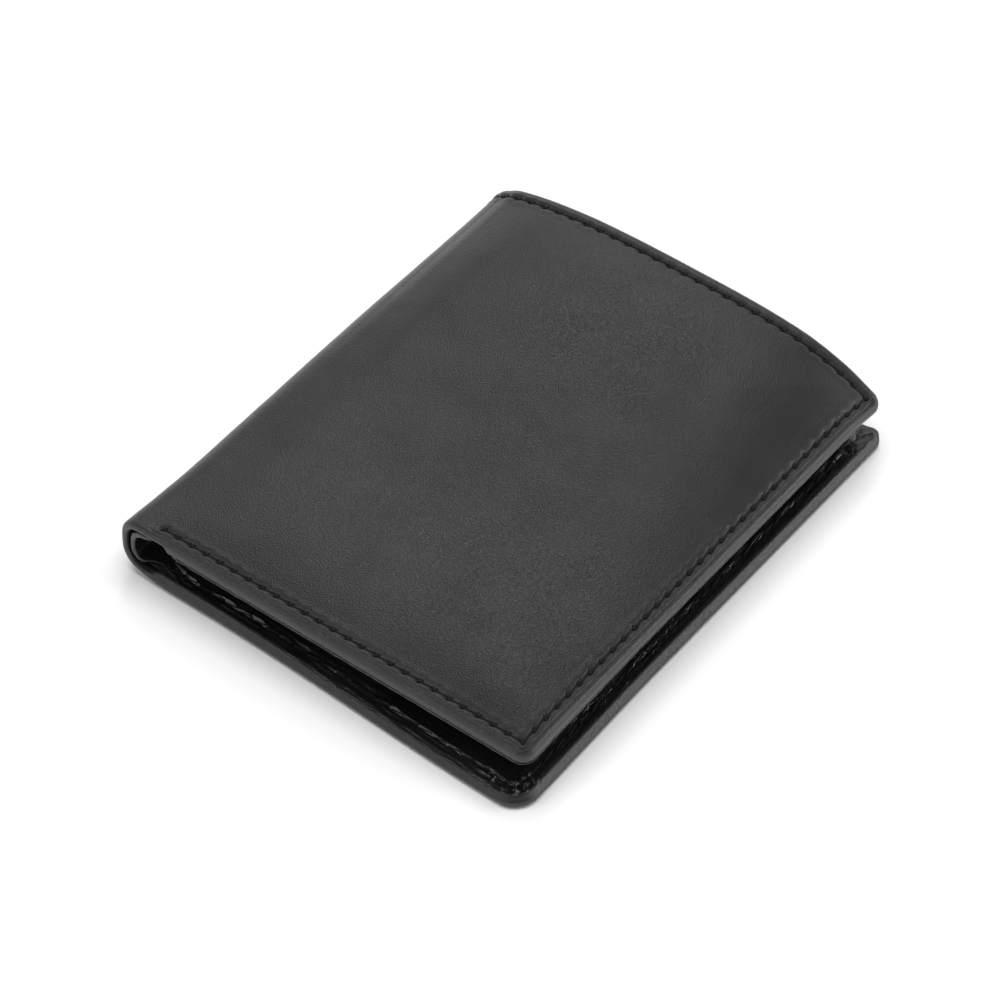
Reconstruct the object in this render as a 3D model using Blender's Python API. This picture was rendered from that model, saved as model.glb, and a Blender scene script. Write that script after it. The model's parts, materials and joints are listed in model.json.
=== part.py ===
"""Bifold wallet in portrait format, closed, lying on its back half.

Units are metres. +X points from the fold to the open edge, +Y from the closed near end to the
mouth of the banknote compartment, +Z up. The origin is the centre of the closed wallet's
footprint, on the surface it lies on.

Each half is a stack of thin layers, counted inwards from its outer face: cover, stiffener,
cover lining, bill wall, card panel, pocket backing and the card slots. The two halves are the
same stack, seen from below and from above. The fold is a half round strip between them, which
turns on the back half, while the front half turns on it.
"""

import math

import bmesh
import bpy
from mathutils import Vector

MM = 0.001

# Closed wallet
CLOSED_WIDTH = 100.0 * MM
CLOSED_LENGTH = 120.0 * MM
CLOSED_THICKNESS = 14.6 * MM
GAP = 0.3 * MM

# Outlines: the front half is a little smaller than the back half
BACK_OPEN_X = CLOSED_WIDTH / 2
BACK_NEAR_Y = -CLOSED_LENGTH / 2
FRONT_OPEN_X = BACK_OPEN_X - 0.4 * MM
FRONT_NEAR_Y = BACK_NEAR_Y + 1.8 * MM
MOUTH_Y = CLOSED_LENGTH / 2
BACK_CORNER_RADIUS = 7.0 * MM
FRONT_CORNER_RADIUS = 3.0 * MM

# Layer thicknesses, from the outside in
COVER = 1.2 * MM
STIFFENER = 0.3 * MM
LINING = 0.2 * MM
PANEL = 0.7 * MM
STRIP = 0.7 * MM
FILM = 0.2 * MM

# Turned rim of a cover, along the near edge and the open edge
RIM_WIDTH = 1.5 * MM
RIM_DEPTH = 2.9 * MM
INNER_INSET = 2.0 * MM
MOUTH_INSET = 2.5 * MM

# Saddle stitches
STITCH_PITCH = 3.5 * MM
STITCH_WIDTH = 0.6 * MM
STITCH_HEIGHT = 0.4 * MM
HOLE_HEIGHT = 0.15 * MM
STITCH_PROUD = GAP + STITCH_HEIGHT
STITCH_INSET = 3.0 * MM
HEM_HALF_STITCHES = 5

# The fold, whose hem stitches stand proud of it on the far side
FOLD_RADIUS = CLOSED_THICKNESS / 2
FOLD_X = -CLOSED_WIDTH / 2 + STITCH_PROUD + FOLD_RADIUS
FOLD_ARC_STEPS = 12
# On an axis this far out and down (or up) from the fold's centre, a quarter turn lays the
# fold's arc out level at its true length.
HINGE_OFFSET = FOLD_RADIUS * math.pi / 4
BACK_HINGE = (FOLD_X - HINGE_OFFSET, 0.0, FOLD_RADIUS - HINGE_OFFSET)
FRONT_HINGE = (FOLD_X - HINGE_OFFSET, 0.0, FOLD_RADIUS + HINGE_OFFSET)
COVER_START_X = FOLD_X - 0.5 * MM
LAYER_START_X = FOLD_X + 0.6 * MM
STITCH_START_X = FOLD_X + 1.8 * MM

# The front cover arches up towards the mouth of the banknote compartment
ARCH_HEIGHT = 5.4 * MM
ARCH_CENTRE_X = 0.5 * MM
ARCH_HALF_WIDTH = 45.0 * MM
ARCH_START_Y = -25.0 * MM
ARCH_FULL_Y = 56.0 * MM

# Card slots: leather strips that overlap like shingles, mouths towards +Y
SLOT_PITCH = 14.0 * MM
STRIP_HEIGHT = 17.0 * MM
STRIP_RISE = 1.25 * MM
STRIP_SIDE_INSET = 4.0 * MM
FRONT_SLOT_MOUTHS = 4
FRONT_TOP_MOUTH_Y = 30.0 * MM
BACK_SLOT_MOUTHS = 3
BACK_TOP_MOUTH_Y = -7.0 * MM

# Identity card window above the back half's slots
WINDOW_NEAR_Y = -3.0 * MM
WINDOW_FAR_Y = 56.0 * MM
WINDOW_BORDER = 6.5 * MM

# Grid of the sheets between their round corners
ACROSS_STEP_COUNT = 9
ALONG_STEP_COUNT = 10


def remove_everything():
    for scene_object in list(bpy.data.objects):
        bpy.data.objects.remove(scene_object, do_unlink=True)


def make_material(name, colour, roughness, alpha=1.0):
    material = bpy.data.materials.new(name)
    material.use_nodes = True
    shader = material.node_tree.nodes["Principled BSDF"]
    shader.inputs["Base Color"].default_value = (*colour, 1.0)
    shader.inputs["Roughness"].default_value = roughness
    shader.inputs["Metallic"].default_value = 0.0
    shader.inputs["Alpha"].default_value = alpha
    return material


def add_object(name, mesh_builder, material, pivot=None, bevel_width=0.0):
    """Link the bmesh as one object, turning on the given pivot empty if it moves."""
    bmesh.ops.recalc_face_normals(mesh_builder, faces=mesh_builder.faces)
    origin = pivot.location if pivot else Vector((0.0, 0.0, 0.0))
    bmesh.ops.translate(mesh_builder, vec=-origin, verts=mesh_builder.verts)
    mesh = bpy.data.meshes.new(name)
    mesh_builder.to_mesh(mesh)
    mesh_builder.free()
    mesh.materials.append(material)
    mesh.shade_smooth()
    mesh.set_sharp_from_angle(angle=math.radians(35.0))
    new_object = bpy.data.objects.new(name, mesh)
    bpy.context.scene.collection.objects.link(new_object)
    new_object.parent = pivot
    if bevel_width:
        bevel = new_object.modifiers.new("rounded_edges", "BEVEL")
        bevel.width = bevel_width
        bevel.segments = 1
        bevel.limit_method = "ANGLE"
    return new_object


def make_pivot(name, location, parent=None):
    """An empty on a hinge axis, which the moving pieces are parented to."""
    pivot = bpy.data.objects.new(name, None)
    bpy.context.scene.collection.objects.link(pivot)
    pivot.location = location
    if parent:
        pivot.parent = parent
        pivot.location = Vector(location) - parent.location
    return pivot


def smooth_step(value, start, end):
    share = min(1.0, max(0.0, (value - start) / (end - start)))
    return share * share * (3.0 - 2.0 * share)


def arch(x, y):
    """Height that the front cover stands above flat at a point."""
    across = min(1.0, abs(x - ARCH_CENTRE_X) / ARCH_HALF_WIDTH)
    return ARCH_HEIGHT * (1.0 - across ** 3) * smooth_step(y, ARCH_START_Y, ARCH_FULL_Y)


def front_height(depth, x, y):
    """Height of a front layer that follows the arched cover, at a depth inside it."""
    return CLOSED_THICKNESS - depth + arch(x, y)


def front_flat_height(depth, x, y):
    return CLOSED_THICKNESS - depth


def back_height(depth, x, y):
    return depth


def spaced(start, end, count):
    return [start + (end - start) * step / count for step in range(count + 1)]


def edge_lines(edge, radius, rim_width):
    """Grid lines across a rounded corner, ending on the edge; the rim is the last band."""
    inward = -math.copysign(1.0, edge)
    return [edge + inward * radius, edge + inward * rim_width, edge]


def round_corner(x, y, open_x, near_y, far_y, radius):
    """Draw the open side's square corners of a grid in to round ones."""
    centre_x = open_x - radius
    for centre_y, outward in ((near_y + radius, -1.0), (far_y - radius, 1.0)):
        across = x - centre_x
        along = (y - centre_y) * outward
        if across > 0.0 and along > 0.0:
            shrink = max(across, along) / math.hypot(across, along)
            return centre_x + across * shrink, centre_y + outward * along * shrink
    return x, y


def build_sheet(start_x, open_x, near_y, far_y, radius, outer, inner, height, rim_depth=0.0):
    """A sheet between two depths, with round corners on the open side and an optional rim."""
    band = min(RIM_WIDTH, radius / 2)
    columns = spaced(start_x, open_x - radius, ACROSS_STEP_COUNT)[:-1]
    columns += edge_lines(open_x, radius, band)
    rows = edge_lines(near_y, radius, band)[::-1]
    rows += spaced(near_y + radius, far_y - radius, ALONG_STEP_COUNT)[1:-1]
    rows += edge_lines(far_y, radius, band)
    builder = bmesh.new()
    layers = []
    for depth in (outer, inner):
        layer = []
        for column in columns:
            line = []
            for row in rows:
                x, y = round_corner(column, row, open_x, near_y, far_y, radius)
                line.append(builder.verts.new((x, y, height(depth, x, y))))
            layer.append(line)
        layers.append(layer)
    inner_rim_faces = []
    last_column = len(columns) - 2
    last_row = len(rows) - 2
    for i in range(last_column + 1):
        for j in range(last_row + 1):
            quads = []
            for layer in layers:
                corners = (layer[i][j], layer[i + 1][j], layer[i + 1][j + 1], layer[i][j + 1])
                quads.append(builder.faces.new(corners))
            if i == last_column or j == 0:
                inner_rim_faces.append(quads[1])
    loop = [(i, 0) for i in range(len(columns))]
    loop += [(last_column + 1, j) for j in range(1, len(rows))]
    loop += [(i, last_row + 1) for i in range(last_column, -1, -1)]
    loop += [(0, j) for j in range(last_row, 0, -1)]
    for (i, j), (next_i, next_j) in zip(loop, loop[1:] + loop[:1]):
        outer_layer, inner_layer = layers
        builder.faces.new((outer_layer[i][j], outer_layer[next_i][next_j],
                           inner_layer[next_i][next_j], inner_layer[i][j]))
    if rim_depth:
        bmesh.ops.recalc_face_normals(builder, faces=builder.faces)
        grown = bmesh.ops.extrude_face_region(builder, geom=inner_rim_faces)
        for item in grown["geom"]:
            if isinstance(item, bmesh.types.BMVert):
                item.co.z += height(rim_depth, 0.0, BACK_NEAR_Y) - height(inner, 0.0, BACK_NEAR_Y)
        bmesh.ops.delete(builder, geom=inner_rim_faces, context="FACES_ONLY")
    return builder


def build_prism(profile, start_x, end_x):
    """A strip along X with the given closed profile of (y, z) corners."""
    builder = bmesh.new()
    ends = [[builder.verts.new((x, y, z)) for y, z in profile] for x in (start_x, end_x)]
    for end in ends:
        builder.faces.new(end)
    count = len(profile)
    for k in range(count):
        following = (k + 1) % count
        builder.faces.new((ends[0][k], ends[0][following], ends[1][following], ends[1][k]))
    return builder


def build_frame(start_x, end_x, near_y, far_y, border, low_z, high_z):
    """A flat rectangular frame with a rectangular window."""
    builder = bmesh.new()
    loops = []
    for z in (low_z, high_z):
        for inset in (0.0, border):
            corners = ((start_x + inset, near_y + inset), (end_x - inset, near_y + inset),
                       (end_x - inset, far_y - inset), (start_x + inset, far_y - inset))
            loops.append([builder.verts.new((x, y, z)) for x, y in corners])
    low_outer, low_inner, high_outer, high_inner = loops
    for k in range(4):
        following = (k + 1) % 4
        for one, other in ((low_outer, low_inner), (high_outer, high_inner),
                           (low_outer, high_outer), (low_inner, high_inner)):
            builder.faces.new((one[k], one[following], other[following], other[k]))
    return builder


def build_fold_strip(outer_radius, thickness, half_angle, near_y, far_y):
    """A strip bent round the fold, between two angles either side of level."""
    builder = bmesh.new()
    sections = []
    for angle in spaced(-half_angle, half_angle, FOLD_ARC_STEPS):
        section = []
        for radius, y in ((outer_radius, near_y), (outer_radius, far_y),
                          (outer_radius - thickness, far_y), (outer_radius - thickness, near_y)):
            x = FOLD_X - radius * math.cos(angle)
            z = FOLD_RADIUS + radius * math.sin(angle)
            section.append(builder.verts.new((x, y, z)))
        sections.append(section)
    builder.faces.new(sections[0])
    builder.faces.new(sections[-1])
    for section, following in zip(sections, sections[1:]):
        for k in range(4):
            other = (k + 1) % 4
            builder.faces.new((section[k], section[other], following[other], following[k]))
    return builder


def build_thread(stations):
    """One thread along stations of (centre, up): a flat strip, thinner where it dips into a hole."""
    builder = bmesh.new()
    sections = []
    last = len(stations) - 1
    for k, (centre, up) in enumerate(stations):
        ahead = stations[min(k + 1, last)][0] - stations[max(k - 1, 0)][0]
        side = up.cross(ahead).normalized() * STITCH_WIDTH / 2
        thickness = STITCH_HEIGHT if k % 2 else HOLE_HEIGHT
        top = up * thickness
        section = [centre - side, centre + side, centre + side * 0.6 + top, centre - side * 0.6 + top]
        sections.append([builder.verts.new(point) for point in section])
    builder.faces.new(sections[0])
    builder.faces.new(sections[-1])
    for section, following in zip(sections, sections[1:]):
        for k in range(4):
            other = (k + 1) % 4
            builder.faces.new((section[k], section[other], following[other], following[k]))
    return builder


def thread_stations(corners, surface):
    """Stations half a stitch apart along a seam through flat corners, on surface(x, y)."""
    up = Vector((0.0, 0.0, 1.0))
    stations = []
    for start, end in zip(corners, corners[1:]):
        run = Vector(end) - Vector(start)
        count = 2 * round(run.length / STITCH_PITCH)
        for number in range(count):
            flat = Vector(start) + run * number / count
            stations.append((Vector((flat.x, flat.y, surface(flat.x, flat.y))), up))
    x, y = corners[-1]
    stations.append((Vector((x, y, surface(x, y))), up))
    return stations


def layer_depths():
    """Outer and inner depth of each layer that lies parallel to the cover."""
    depths = {}
    outer = 0.0
    for layer, thickness in (("cover", COVER), ("stiffener", STIFFENER), ("lining", LINING),
                             ("bill_wall", LINING), ("panel", PANEL), ("backing", LINING)):
        depths[layer] = (outer, outer + thickness)
        outer += thickness + GAP
    depths["pockets"] = (outer, outer)
    return depths


def add_half(prefix, materials, pivot, outline, corner_radius, height, flat_height):
    """The layers of one half, from its cover to its pocket backing."""
    open_x, near_y = outline
    depths = layer_depths()
    cover = build_sheet(COVER_START_X, open_x, near_y, MOUTH_Y, corner_radius,
                        *depths["cover"], height, RIM_DEPTH)
    add_object(prefix + "_cover", cover, materials["outer_leather"], pivot)
    panel_far_y = MOUTH_Y - MOUTH_INSET
    inner_sheets = (
        ("_stiffener", "stiffener", INNER_INSET, panel_far_y, height, "board"),
        ("_cover_lining", "lining", INNER_INSET, MOUTH_Y - INNER_INSET / 2, height, "lining"),
        ("_bill_wall", "bill_wall", INNER_INSET, panel_far_y, flat_height, "lining"),
        ("_card_panel", "panel", INNER_INSET, panel_far_y, flat_height, "inner_leather"),
        ("_pocket_backing", "backing", STRIP_SIDE_INSET, WINDOW_FAR_Y, flat_height, "lining"),
    )
    for suffix, layer, inset, far_y, layer_height, material in inner_sheets:
        sheet = build_sheet(LAYER_START_X, open_x - inset, near_y + inset, far_y, corner_radius,
                            *depths[layer], layer_height)
        add_object(prefix + suffix, sheet, materials[material], pivot)


def add_card_slots(prefix, materials, pivot, outline, height, top_mouth_y, mouths):
    """Leather strips with their mouths towards +Y; the last one reaches down to the near end."""
    open_x, near_y = outline
    outer = layer_depths()["pockets"][0]
    for number in range(mouths):
        mouth_y = top_mouth_y - SLOT_PITCH * number
        bottom_y = mouth_y - STRIP_HEIGHT
        if number == mouths - 1:
            bottom_y = near_y + STRIP_SIDE_INSET
        profile = [(bottom_y, outer), (mouth_y, outer + STRIP_RISE),
                   (mouth_y, outer + STRIP_RISE + STRIP), (bottom_y, outer + STRIP)]
        profile = [(y, height(depth, 0.0, y)) for y, depth in profile]
        strip = build_prism(profile, LAYER_START_X + GAP, open_x - STRIP_SIDE_INSET)
        add_object(f"{prefix}_card_slot_{number + 1}", strip, materials["inner_leather"], pivot,
                   bevel_width=0.15 * MM)


def add_identity_window(materials, pivot):
    """Clear film behind a leather frame, on the back half."""
    film_low = layer_depths()["pockets"][0]
    frame_low = film_low + FILM + GAP
    start_x = LAYER_START_X + GAP
    end_x = BACK_OPEN_X - STRIP_SIDE_INSET
    margin = WINDOW_BORDER / 2
    profile = [(WINDOW_NEAR_Y + margin, film_low), (WINDOW_FAR_Y - margin, film_low),
               (WINDOW_FAR_Y - margin, film_low + FILM), (WINDOW_NEAR_Y + margin, film_low + FILM)]
    film = build_prism(profile, start_x + margin, end_x - margin)
    add_object("id_window_film", film, materials["film"], pivot)
    frame = build_frame(start_x, end_x, WINDOW_NEAR_Y, WINDOW_FAR_Y, WINDOW_BORDER,
                        frame_low, frame_low + STRIP)
    add_object("id_window_frame", frame, materials["inner_leather"], pivot, bevel_width=0.15 * MM)


def add_fold(materials, pivot):
    """The strips of cover, lining and bill wall that run round the fold."""
    lining_radius = FOLD_RADIUS - COVER - GAP
    wall_radius = lining_radius - LINING - GAP
    for name, radius, thickness, degrees, far_y, material in (
            ("spine_cover", FOLD_RADIUS, COVER, 80.0, MOUTH_Y, "outer_leather"),
            ("spine_lining", lining_radius, LINING, 72.0, MOUTH_Y - INNER_INSET / 2, "lining"),
            ("spine_bill_wall", wall_radius, LINING, 66.0, MOUTH_Y - MOUTH_INSET, "lining")):
        strip = build_fold_strip(radius, thickness, math.radians(degrees), FRONT_NEAR_Y, far_y)
        add_object(name, strip, materials[material], pivot)


def add_stitching(materials, spine_pivot, front_pivot):
    """Edge seams of both halves, and the hem seam that crosses the fold at the mouth."""
    hem_y = MOUTH_Y - STITCH_INSET
    panel_face = layer_depths()["panel"][1]

    def on_front(x, y):
        return front_height(-GAP, x, y)

    def on_back(x, y):
        return panel_face + GAP

    seam_x = FRONT_OPEN_X - STITCH_INSET
    seam_y = FRONT_NEAR_Y + STITCH_INSET
    corners = ((STITCH_START_X, seam_y), (seam_x, seam_y), (seam_x, hem_y), (STITCH_START_X, hem_y))
    thread = build_thread(thread_stations(corners, on_front))
    add_object("front_edge_stitching", thread, materials["thread"], front_pivot)

    seam_x = BACK_OPEN_X - STITCH_INSET
    seam_y = BACK_NEAR_Y + STITCH_INSET
    turn = BACK_CORNER_RADIUS / 2
    corners = ((STITCH_START_X, seam_y), (seam_x - turn, seam_y), (seam_x, seam_y + turn),
               (seam_x, hem_y - turn))
    thread = build_thread(thread_stations(corners, on_back))
    add_object("back_edge_stitching", thread, materials["thread"])

    radius = FOLD_RADIUS + GAP
    half_step = STITCH_PITCH / FOLD_RADIUS / 2
    stations = []
    for number in range(-HEM_HALF_STITCHES, HEM_HALF_STITCHES + 1):
        angle = number * half_step
        outward = Vector((-math.cos(angle), 0.0, math.sin(angle)))
        centre = Vector((FOLD_X, hem_y, FOLD_RADIUS)) + outward * radius
        stations.append((centre, outward))
    add_object("spine_hem_stitching", build_thread(stations), materials["thread"], spine_pivot)


def main():
    remove_everything()
    materials = {
        "outer_leather": make_material("outer_leather", (0.028, 0.028, 0.029), 0.45),
        "inner_leather": make_material("inner_leather", (0.016, 0.016, 0.017), 0.35),
        "board": make_material("bonded_leather_board", (0.06, 0.055, 0.05), 0.8),
        "lining": make_material("lining_fabric", (0.02, 0.02, 0.022), 0.8),
        "film": make_material("clear_film", (0.85, 0.87, 0.88), 0.15, alpha=0.3),
        "thread": make_material("thread", (0.01, 0.01, 0.011), 0.6),
    }
    spine_pivot = make_pivot("spine_axis", BACK_HINGE)
    front_pivot = make_pivot("front_axis", FRONT_HINGE)
    front_outline = (FRONT_OPEN_X, FRONT_NEAR_Y)
    back_outline = (BACK_OPEN_X, BACK_NEAR_Y)
    add_half("back", materials, None, back_outline, BACK_CORNER_RADIUS, back_height, back_height)
    add_card_slots("back", materials, None, back_outline, back_height,
                   BACK_TOP_MOUTH_Y, BACK_SLOT_MOUTHS)
    add_identity_window(materials, None)
    add_fold(materials, spine_pivot)
    add_half("front", materials, front_pivot, front_outline, FRONT_CORNER_RADIUS,
             front_height, front_flat_height)
    add_card_slots("front", materials, front_pivot, front_outline, front_flat_height,
                   FRONT_TOP_MOUTH_Y, FRONT_SLOT_MOUTHS)
    add_stitching(materials, spine_pivot, front_pivot)


main()
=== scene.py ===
"""Bifold wallet in black leather, closed, on a pale floor.

Each half is drawn flat, in pattern space, and then bent into place: u runs from the middle of the
spine to the open edge along the outer face, v runs along +Y, and depth is measured inwards from
the outer face. The two halves meet at the middle of the spine, and each bends between the spine
and its own half.
"""

import math
import random

import bmesh
import bpy
import numpy as np
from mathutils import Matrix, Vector
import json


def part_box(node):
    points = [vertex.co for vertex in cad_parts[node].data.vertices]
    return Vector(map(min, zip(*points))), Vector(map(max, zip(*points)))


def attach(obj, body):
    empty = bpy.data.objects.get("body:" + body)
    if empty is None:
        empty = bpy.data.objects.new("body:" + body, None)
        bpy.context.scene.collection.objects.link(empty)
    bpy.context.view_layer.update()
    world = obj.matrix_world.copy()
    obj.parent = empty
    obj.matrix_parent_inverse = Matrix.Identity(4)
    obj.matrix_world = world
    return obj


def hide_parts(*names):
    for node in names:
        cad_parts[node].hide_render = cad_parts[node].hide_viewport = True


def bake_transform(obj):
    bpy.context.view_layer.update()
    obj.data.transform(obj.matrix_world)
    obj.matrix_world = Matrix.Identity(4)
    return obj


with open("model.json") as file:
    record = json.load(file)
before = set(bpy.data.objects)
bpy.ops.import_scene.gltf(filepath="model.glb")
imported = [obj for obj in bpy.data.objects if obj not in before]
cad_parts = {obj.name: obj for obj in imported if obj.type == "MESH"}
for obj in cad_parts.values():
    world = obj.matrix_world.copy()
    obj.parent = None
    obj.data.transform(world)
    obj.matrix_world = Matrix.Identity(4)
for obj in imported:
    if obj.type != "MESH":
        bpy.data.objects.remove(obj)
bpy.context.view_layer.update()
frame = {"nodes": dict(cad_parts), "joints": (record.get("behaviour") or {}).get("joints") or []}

MM = 0.001

# ---------------------------------------------------------------- sizes from the frame

JOINTS = {joint["name"]: joint for joint in frame["joints"]}
BACK_AXIS = JOINTS["spine_fold"]["pos_m"]
FRONT_AXIS = JOINTS["cover_fold"]["pos_m"]
FOLD_RADIUS = (BACK_AXIS[2] + FRONT_AXIS[2]) / 2
FOLD_X = BACK_AXIS[0] + FOLD_RADIUS * math.pi / 4
ARC = FOLD_RADIUS * math.pi / 2  # u where the fold ends and the half's flat begins
NEAR_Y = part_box("front_cover")[0].y
MOUTH_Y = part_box("front_cover")[1].y
FRONT_OPEN_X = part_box("front_cover")[1].x
BACK_OPEN_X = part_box("back_cover")[1].x

# ---------------------------------------------------------------- leather and seams

PITCH = 3.5 * MM
SEAM_INSET = 3.0 * MM
SEAM_STITCHES = 25  # on the near edge, from beside the fold to the open corner
HOLE_LEAN = math.radians(50)  # of each needle hole's slot to the seam
COVER = 1.2 * MM
CONTOUR_INSET = 0.5 * MM  # from the grid's border out to the rim's widest line
RIM_DEPTH = 3.0 * MM  # thickness of the turned edge where the panels are sewn in
HEM_DEPTH = 1.85 * MM  # thickness of the far hem
BARE_HEM_DEPTH = 1.5 * MM  # thickness of the near edge beside the fold
STEP_X = {"front": FOLD_X + 3.6 * MM, "back": FOLD_X - 0.4 * MM}  # where the bare hem ends


def smooth(value, start, end):
    """0 before start, 1 after end, and a smooth step between them."""
    share = np.clip((np.asarray(value, float) - start) / (end - start), 0.0, 1.0)
    return share * share * (3.0 - 2.0 * share)


def bump(distance, width):
    """1 at no distance, and falling away over the given width."""
    return np.exp(-np.square(np.asarray(distance, float) / width))


def crinkle(u, v, seed, shortest, longest):
    """A field of soft folds crossing at random, from -1 to 1."""
    draw = random.Random(seed)
    total = 0.0
    for _ in range(16):
        turn = draw.uniform(0.0, math.pi)
        length = draw.uniform(shortest, longest)
        along = u * math.cos(turn) + v * math.sin(turn)
        total = total + np.sin(2 * math.pi * along / length + draw.uniform(0.0, 2 * math.pi))
    return np.clip(total / 6.0, -1.0, 1.0)


# ---------------------------------------------------------------- the two halves in space


def front_rise(x, y, follow):
    """How far the front half stands above the level of its near end. Only the cover and its
    lining follow the arch at the mouth; every layer is sewn in to the lifted open edge."""
    across = np.clip(np.abs(x - 0.5 * MM) / (45.5 * MM), 0.0, 1.0) ** 3
    mouth = 5.45 * MM * (1.0 - across) * smooth(y, -30 * MM, 58 * MM)
    open_edge = 0.7 * MM * smooth(x, -30 * MM, 46 * MM) * smooth(y, -60 * MM, -46 * MM)
    droop = -1.5 * MM * smooth(x, 28 * MM, 47 * MM) * smooth(y, 46 * MM, 59 * MM)
    return follow * mouth + open_edge + droop


def back_lift(x, y):
    """The back half stands a little off the floor beside the fold, at its near end."""
    return 0.9 * MM * bump(x - (FOLD_X - 2.5 * MM), 3.2 * MM) * (1.0 - smooth(y, -50 * MM, -20 * MM))


def back_flare(x, y):
    """How far the back half's near edge spreads outwards, most of all at the open corner."""
    spread = -0.2 * MM - 2.4 * MM * smooth(x, -38 * MM, 46 * MM) ** 1.35
    return spread * (1.0 - smooth(y, NEAR_Y, -18 * MM))


def back_drift(x, y):
    """The back half's open edge leans: a little out at the near corner, a little in beyond it."""
    lean = 0.4 * MM - 0.67 * MM * smooth(y, -58 * MM, -15 * MM)
    return lean * smooth(x, 15 * MM, 48 * MM)


def spine_pinch(y):
    """The fold is drawn in towards the mouth, and stands out a little at the near end."""
    near_end = 0.2 * MM * (1.0 - smooth(y, -60 * MM, -20 * MM))
    near_end = near_end + 0.5 * MM * (1.0 - smooth(y, -60 * MM, -46 * MM))
    return 0.92 * MM * smooth(y, 5 * MM, 58 * MM) - near_end


class Half:
    """Places pattern space points of one half in the frame. side is 1 for the front, above the
    fold's middle, and -1 for the back; radii are those of the near and the far open corner."""

    def __init__(self, name, side, open_x, radii, body):
        self.name = name
        self.side = side
        self.open_u = ARC + open_x - FOLD_X
        self.near_radius, self.far_radius = radii
        self.body = body

    def place(self, u, v, depth, follow=1.0):
        """follow is 1 for layers that rise with the arched front cover, 0 for flat ones."""
        u, v, depth = (np.asarray(a, float) for a in (u, v, depth))
        angle = np.clip(u / FOLD_RADIUS, 0.0, math.pi / 2)
        cos, sin = np.cos(angle), np.sin(angle)
        square = self.squareness(v)
        fuller = (np.maximum(cos, 1e-9) ** square + np.maximum(sin, 1e-9) ** square) ** (-1 / square)
        radius = (FOLD_RADIUS - depth) * fuller
        x = FOLD_X - radius * cos + np.maximum(0.0, u - ARC)
        y = v + 0.3 * MM * smooth(v, 40 * MM, 60 * MM)
        across = spine_pinch(y) * cos
        if self.side > 0:
            z = FOLD_RADIUS + radius * sin + front_rise(x, y, follow) * sin ** 2
            drawn = smooth(x, 39 * MM, 50 * MM) * smooth(y, 48 * MM, 61 * MM)
            y = y - 0.75 * MM * drawn
            across = across - 0.1 * MM * drawn
        else:
            z = FOLD_RADIUS - radius * sin + back_lift(x, y) * sin
            across = across + back_drift(x, y)
            y = y + back_flare(x, y) * sin ** 2
        return np.stack([x + across, y + np.zeros_like(x), z + np.zeros_like(x)], axis=-1)

    def squareness(self, v):
        """2 is a round fold; more is squarer, as the front shoulder is near its sewn end."""
        if self.side > 0:
            return 3.0 - 0.8 * smooth(v, -55 * MM, 55 * MM) + 1.2 * (1.0 - smooth(v, -62 * MM, -35 * MM))
        return 2.15 + np.zeros_like(v)

    def u_of(self, x):
        """Where an x on the half's flat lies in the pattern."""
        return ARC + x - FOLD_X


FRONT = Half("front", 1, FRONT_OPEN_X, (3.0 * MM, 3.9 * MM), "front_half")
BACK = Half("back", -1, BACK_OPEN_X, (5.5 * MM, 3.4 * MM), "back_half")


def round_off(half, u, v, near_v=NEAR_Y, far_v=MOUTH_Y, radii=None, open_u=None):
    """Draw the two square corners on the open side in to round ones."""
    radii = radii or (half.near_radius, half.far_radius)
    open_u = half.open_u if open_u is None else open_u
    u, v = np.array(u, float), np.array(v, float)
    for radius, edge_v, outward in ((radii[0], near_v, -1.0), (radii[1], far_v, 1.0)):
        centre_u, centre_v = open_u - radius, edge_v - outward * radius
        across = u - centre_u
        along = (v - centre_v) * outward
        inside = (across > 0) & (along > 0)
        reach = np.maximum(across, along)
        length = np.hypot(across, along)
        scale = np.where(inside, reach / np.maximum(length, 1e-9), 1.0)
        u = np.where(inside, centre_u + across * scale, u)
        v = np.where(inside, centre_v + outward * along * scale, v)
    return u, v


def inset_of(half, u, v):
    """Distance of square-cornered pattern points inside the near, open and far edges."""
    return v - NEAR_Y, half.open_u - u, MOUTH_Y - v


# ---------------------------------------------------------------- seams


def seam_path(half, inset=SEAM_INSET, far_v=MOUTH_Y, end_u=0.0):
    """A seam's line in pattern space: from beside the fold along the near edge, up the open edge
    and back along the far one."""
    start_u = half.open_u - SEAM_INSET - SEAM_STITCHES * PITCH
    near, open_side, far = NEAR_Y + inset, half.open_u - inset, far_v - inset
    return np.array([(start_u, near), (open_side, near), (open_side, far), (end_u, far)])


def holes_along(points):
    """Needle holes a pitch apart along a polyline, with the seam's direction at each."""
    legs = np.diff(points, axis=0)
    lengths = np.linalg.norm(legs, axis=1)
    ends = np.concatenate([[0.0], np.cumsum(lengths)])
    places = np.arange(0.0, lengths.sum() + 1e-9, PITCH)
    found = np.stack([np.interp(places, ends, points[:, k]) for k in range(2)], axis=1)
    leg = np.clip(np.searchsorted(ends, places, side="right") - 1, 0, len(legs) - 1)
    return found, legs[leg] / lengths[leg][:, None]


def distance_to_path(u, v, points):
    """Distance of each pattern point to a polyline."""
    best = np.full(np.shape(u), 1.0)
    for start, end in zip(points[:-1], points[1:]):
        leg = end - start
        share = ((u - start[0]) * leg[0] + (v - start[1]) * leg[1]) / (leg @ leg)
        share = np.clip(share, 0.0, 1.0)
        away = np.hypot(u - start[0] - share * leg[0], v - start[1] - share * leg[1])
        best = np.minimum(best, away)
    return best


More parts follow.
